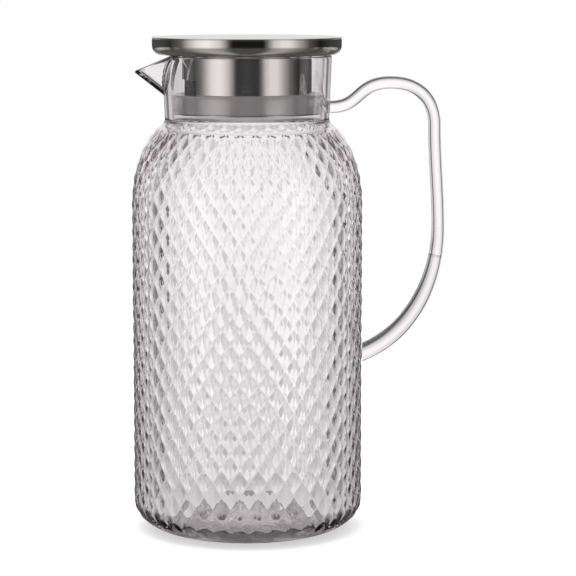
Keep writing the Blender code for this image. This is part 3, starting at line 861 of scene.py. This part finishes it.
def silicone(ripple):
    """Translucent grey silicone: cloudy, with a soft gloss, and the steel tube showing through."""
    material, tree, shader, _ = new_material("silicone")
    surface = use_group(tree, ripple, waves=SILICONE_WAVES, peel=SILICONE_PEEL)
    colour = tinted(tree, surface["Smoke"], *SILICONE_TINTS)
    tree.links.new(colour, shader.inputs["Base Color"])
    haze = calc(tree, "MULTIPLY_ADD", surface["Smoke"], *SILICONE_ROUGH)
    tree.links.new(haze, shader.inputs["Roughness"])
    bump(tree, shader, surface["Height"], *SILICONE_BUMP)
    shader.inputs["IOR"].default_value = SILICONE_IOR
    shader.inputs["Transmission Weight"].default_value = SILICONE_CLEAR
    return material


# Studio

CAMERA_PLACE = Vector((0.0206, -1.2298, 0.2816))
CAMERA_TILT = math.radians(7.349)
CAMERA_LENS = 152.66
CAMERA_SENSOR = 36.0
LAMP_PLACE = Vector((-0.1, -0.2, 1.3))
LAMP_SIZE = 0.9
LAMP_POWER = 9.0

STAGE_SIDES = 96
FLOOR_R = 0.8
FLOOR_Z = -0.2 * MM
FLOOR_TONE = (0.8, 0.8, 0.8)
FLOOR_ROUGH = 0.9
FLOOR_GLOW = 0.4                # lifts the floor to white for the camera
# Painted shadow: the floor's colour and glow darken round the base where little open sky is near
CONTACT_REACH = 0.03            # of the soft shadow round the base
CONTACT_OPEN = (0.3, 1.0)       # shares of open sky between which it fades
CONTACT_SHADE = 0.85
CONTACT_SAMPLES = 16
# Painted shade and painted flecks of light, on a glowing disc under the base that is hidden from
# the camera
SHADE_R = 0.040                 # of the shaded table under the base
SHADE_Z = -0.1 * MM
SHADE_TONES = ((0.15, 0.125, 0.14), (0.52, 0.47, 0.49))
SHADE_PATCHES = (200.0, 4.0, 0.6)  # noise between these tones
PATCH_LEVELS = (0.35, 0.65)
SHADE_FLECKS = (300.0, 3.0)     # noise of the flecks of light
FLECK_LEVELS = (0.60, 0.66)
PAINTED_LIGHT_FLECK_TONE = (0.9, 0.88, 0.9)
SHADE_FALL = (0.016, 0.030)     # radii between which it darkens outwards
SHADE_EDGE = 0.45

# White screens in a ring, seen through the clear walls. Heights are the Z of a direction.
SCREENS = 7.0
SCREEN_EDGES = (-0.95, -0.6)    # cosine of their phase where they end and where they are pale
SCREEN_GAP = 0.12               # what shows between them
SCREEN_CROWN = 0.28             # how much whiter their middles are
CROWN_EDGES = (0.2, 1.0)
SCREEN_LEVEL = 1.09
SCREEN_FALL = (-0.26, -0.09)    # heights between which they darken downwards
SCREEN_FOOT = 0.68
SCREEN_TOP = (0.3, 0.6)         # and upwards
SCREEN_HEAD = 0.5
SCREEN_DEEP = (-0.44, -0.28)    # and steeply downwards, through one wall and through more
SCREEN_PITS = (0.18, 0.6)
ONE_WALL = 2.5                  # light through one wall crossed fewer surfaces than this
NO_MIRROR = 0.5                 # light that met no mirror was reflected fewer times than this

# Soft boxes round the pitcher under an open sky, for reflections and light
BOX_LEVEL = 1.25
# (degrees round from the camera, share of the level), spout side first
SOFT_BOXES = (
    (-180, 0.06), (-125, 0.06), (-105, 0.03), (-85, 0.12), (-62, 0.85), (-48, 1.0), (-32, 0.70),
    (-20, 0.08), (-16, 0.01), (21, 0.01), (26, 0.16), (34, 0.65), (44, 0.85), (54, 0.82),
    (68, 0.38), (82, 0.08), (100, 0.01), (125, 0.05), (180, 0.06),
)
LOW_FALL = (-0.3, -0.05)        # heights between which the boxes fade downwards
LOW_SHARE = 0.33                # what is left of them there
LOW_LEVEL = 0.09                # and what is added
SKY_RISE = (0.07, 0.17)         # heights between which the sky takes over
GLOSSY_SKY = 0.4                # its level in reflections
BEHIND_SIDE = (0.55, 0.85)      # Y of a direction, towards the bright wall at the back
BEHIND_RISE = (-0.02, 0.02)
BEHIND_LEVEL = 0.78
BELOW_TOP = (-0.16, -0.1)       # heights of a band low at the back that shows the screens
BELOW_FOOT = (-0.34, -0.25)
BELOW_SIDE = (-0.1, 0.3)
LOW_GLOSS = 0.6                 # share of the screens there that plain reflections see


def hide_from(thing, rays):
    """Keep an object out of sight for some kinds of light."""
    for ray in rays:
        setattr(thing, "visible_" + ray, False)


def make_camera():
    data = bpy.data.cameras.new("photo_camera")
    data.lens = CAMERA_LENS
    data.sensor_width = CAMERA_SENSOR
    camera = bpy.data.objects.new("photo_camera", data)
    camera.location = CAMERA_PLACE
    camera.rotation_euler = (math.pi / 2 - CAMERA_TILT, 0.0, 0.0)
    bpy.context.scene.collection.objects.link(camera)
    bpy.context.scene.camera = camera


def screen_ring(tree, axes, one_wall):
    """Level of the white screens in a direction."""
    turn = calc(tree, "ARCTAN2", axes["X"], calc(tree, "ABSOLUTE", axes["Y"]))
    lobes = calc(tree, "COSINE", calc(tree, "MULTIPLY", turn, SCREENS))
    level = ramp(tree, lobes, *SCREEN_EDGES, SCREEN_GAP, 1.0 - SCREEN_CROWN)
    level = calc(tree, "ADD", level, ramp(tree, lobes, *CROWN_EDGES, 0.0, SCREEN_CROWN))
    pit = mixed(tree, one_wall, SCREEN_PITS[1], SCREEN_PITS[0])
    shares = (
        ramp(tree, axes["Z"], *SCREEN_FALL, SCREEN_FOOT * SCREEN_LEVEL, SCREEN_LEVEL),
        ramp(tree, axes["Z"], *SCREEN_TOP, 1.0, SCREEN_HEAD),
        ramp(tree, axes["Z"], *SCREEN_DEEP, pit, 1.0),
    )
    for share in shares:
        level = calc(tree, "MULTIPLY", level, share)
    return level


def soft_boxes(tree, axes, path):
    """Level of the soft boxes, the sky and the wall at the back in a direction."""
    front = calc(tree, "ARCTAN2", axes["X"], calc(tree, "MULTIPLY", axes["Y"], -1.0))
    turn = calc(tree, "MULTIPLY_ADD", front, 1 / math.tau, 0.5)
    boxes = add(tree, "ShaderNodeValToRGB", {"Fac": turn})
    stops = boxes.color_ramp.elements
    while len(stops) < len(SOFT_BOXES):
        stops.new(0.5)
    for stop, (degrees, share) in zip(stops, SOFT_BOXES):
        stop.position = degrees / 360 + 0.5
        stop.color = (share, share, share, 1.0)
    level = calc(tree, "MULTIPLY", boxes.outputs["Color"], BOX_LEVEL)
    low = calc(tree, "MULTIPLY_ADD", level, LOW_SHARE, LOW_LEVEL)
    level = mixed(tree, ramp(tree, axes["Z"], *LOW_FALL), low, level)
    sky = mixed(tree, path["Is Glossy Ray"], 1.0, GLOSSY_SKY)
    level = mixed(tree, ramp(tree, axes["Z"], *SKY_RISE), level, sky)
    behind = calc(tree, "MULTIPLY", ramp(tree, axes["Y"], *BEHIND_SIDE),
                  ramp(tree, axes["Z"], *BEHIND_RISE))
    return mixed(tree, behind, level, BEHIND_LEVEL)


def make_world():
    """White to the camera, screens through the clear walls, soft boxes otherwise."""
    world = bpy.data.worlds.new("studio")
    world.use_nodes = True
    bpy.context.scene.world = world
    tree = world.node_tree
    direction = add(tree, "ShaderNodeTexCoord").outputs["Generated"]
    axes = add(tree, "ShaderNodeSeparateXYZ", {0: direction}).outputs
    path = add(tree, "ShaderNodeLightPath").outputs
    one_wall = calc(tree, "LESS_THAN", path["Transmission Depth"], ONE_WALL)
    screens = screen_ring(tree, axes, one_wall)
    level = soft_boxes(tree, axes, path)

    below = calc(tree, "MULTIPLY", ramp(tree, axes["Z"], *BELOW_TOP, 1.0, 0.0),
                 ramp(tree, axes["Z"], *BELOW_FOOT))
    below = calc(tree, "MULTIPLY", ramp(tree, axes["Y"], *BELOW_SIDE), below)
    seen = calc(tree, "MAXIMUM", path["Is Transmission Ray"], LOW_GLOSS)
    level = mixed(tree, calc(tree, "MULTIPLY", below, seen), level, screens)

    direct = calc(tree, "LESS_THAN", path["Glossy Depth"], NO_MIRROR)
    through = calc(tree, "MULTIPLY", path["Is Transmission Ray"],
                   calc(tree, "MAXIMUM", direct, one_wall))
    level = mixed(tree, through, level, screens)
    level = mixed(tree, path["Is Camera Ray"], level, 1.0)
    tree.links.new(level, tree.nodes["Background"].inputs["Color"])


def stage_disc(name, radius, z, material, hidden):
    """A flat disc of the stage, hidden from some kinds of light."""
    shape = bmesh.new()
    bmesh.ops.create_circle(shape, cap_ends=True, segments=STAGE_SIDES, radius=radius)
    disc = new_piece(name, shape, material)
    disc.location.z = z
    hide_from(disc, hidden)
    return disc


def make_floor():
    """A white floor with a soft shadow round the base, painted into its colour and glow from how
    much open sky is near.
    """
    material, tree, shader, _ = new_material("floor")
    near = add(tree, "ShaderNodeAmbientOcclusion", {"Distance": CONTACT_REACH},
               samples=CONTACT_SAMPLES).outputs["AO"]
    open_sky = ramp(tree, near, *CONTACT_OPEN, CONTACT_SHADE, 1.0)
    colour = tinted(tree, open_sky, (0.0, 0.0, 0.0), FLOOR_TONE)
    tree.links.new(colour, shader.inputs["Base Color"])
    shader.inputs["Roughness"].default_value = FLOOR_ROUGH
    path = add(tree, "ShaderNodeLightPath").outputs
    shader.inputs["Emission Color"].default_value = (1.0, 1.0, 1.0, 1.0)
    glow = calc(tree, "MULTIPLY", path["Is Camera Ray"], FLOOR_GLOW)
    glow = calc(tree, "MULTIPLY", glow, open_sky)
    tree.links.new(glow, shader.inputs["Emission Strength"])
    floor = stage_disc("floor", FLOOR_R, FLOOR_Z, material, ("transmission", "glossy"))


def make_base_shade():
    """Painted smoky shade of the table under the jug, with painted flecks of light, glowing from a
    disc that is seen through the jug's floor.
    """
    material, tree, _, output = new_material("base_shade")
    place = object_place(tree)
    # Painted shade in patches, painted flecks of light, and painted darkening towards the disc's
    # edge
    patches = ramp(tree, noise(tree, place, *SHADE_PATCHES), *PATCH_LEVELS)
    flecks = ramp(tree, noise(tree, place, *SHADE_FLECKS), *FLECK_LEVELS)
    colour = tinted(tree, flecks, tinted(tree, patches, *SHADE_TONES), PAINTED_LIGHT_FLECK_TONE)
    level = ramp(tree, length_of(tree, place), *SHADE_FALL, 1.0, SHADE_EDGE)
    glow = add(tree, "ShaderNodeEmission", {"Color": colour, "Strength": level})
    tree.links.new(glow.outputs[0], output.inputs["Surface"])
    hidden = ("camera", "diffuse", "glossy", "shadow")
    shade = stage_disc("base_shade", SHADE_R, SHADE_Z, material, hidden)


def make_lamp():
    data = bpy.data.lights.new("overhead", "AREA")
    data.shape = "DISK"
    data.size = LAMP_SIZE
    data.energy = LAMP_POWER
    lamp = bpy.data.objects.new("overhead", data)
    lamp.location = LAMP_PLACE
    lamp.rotation_euler = (-LAMP_PLACE).to_track_quat("-Z", "Y").to_euler()
    hide_from(lamp, ("camera", "glossy", "transmission"))
    bpy.context.scene.collection.objects.link(lamp)


bpy.context.scene.view_settings.view_transform = "Standard"
# Light turns back many times inside the clear base before it leaves
bpy.context.scene.cycles.max_bounces = 24
bpy.context.scene.cycles.glossy_bounces = 16
bpy.context.scene.cycles.transmission_bounces = 16
make_camera()
make_world()
make_floor()
make_base_shade()
make_lamp()
ripple = moulding_ripple()
turned = turned_metal()
make_vessel(clear_plastic(ripple, "clear_wall", **CLEAR_WALL))
make_handle(clear_plastic(ripple, "clear_rod", **CLEAR_ROD))
cap_steel = steel(turned, "polished_steel", **POLISHED_STEEL)
tube_steel = steel(turned, "brushed_steel", **BRUSHED_STEEL)
make_lid_disc(cap_steel)
make_lid_bowl(cap_steel)
make_pour_sleeve(tube_steel)
make_seal_ring(silicone(ripple))
make_seal_flange(tube_steel)
# The strainer stays as the CAD model has it, in steel darkened with painted shade, as it lies in
# the shadow of the sleeve
steel_with_painted_shade = steel(turned, "steel_with_painted_shade", **STEEL_WITH_PAINTED_SHADE)
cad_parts["strainer"].data.materials[0] = steel_with_painted_shade
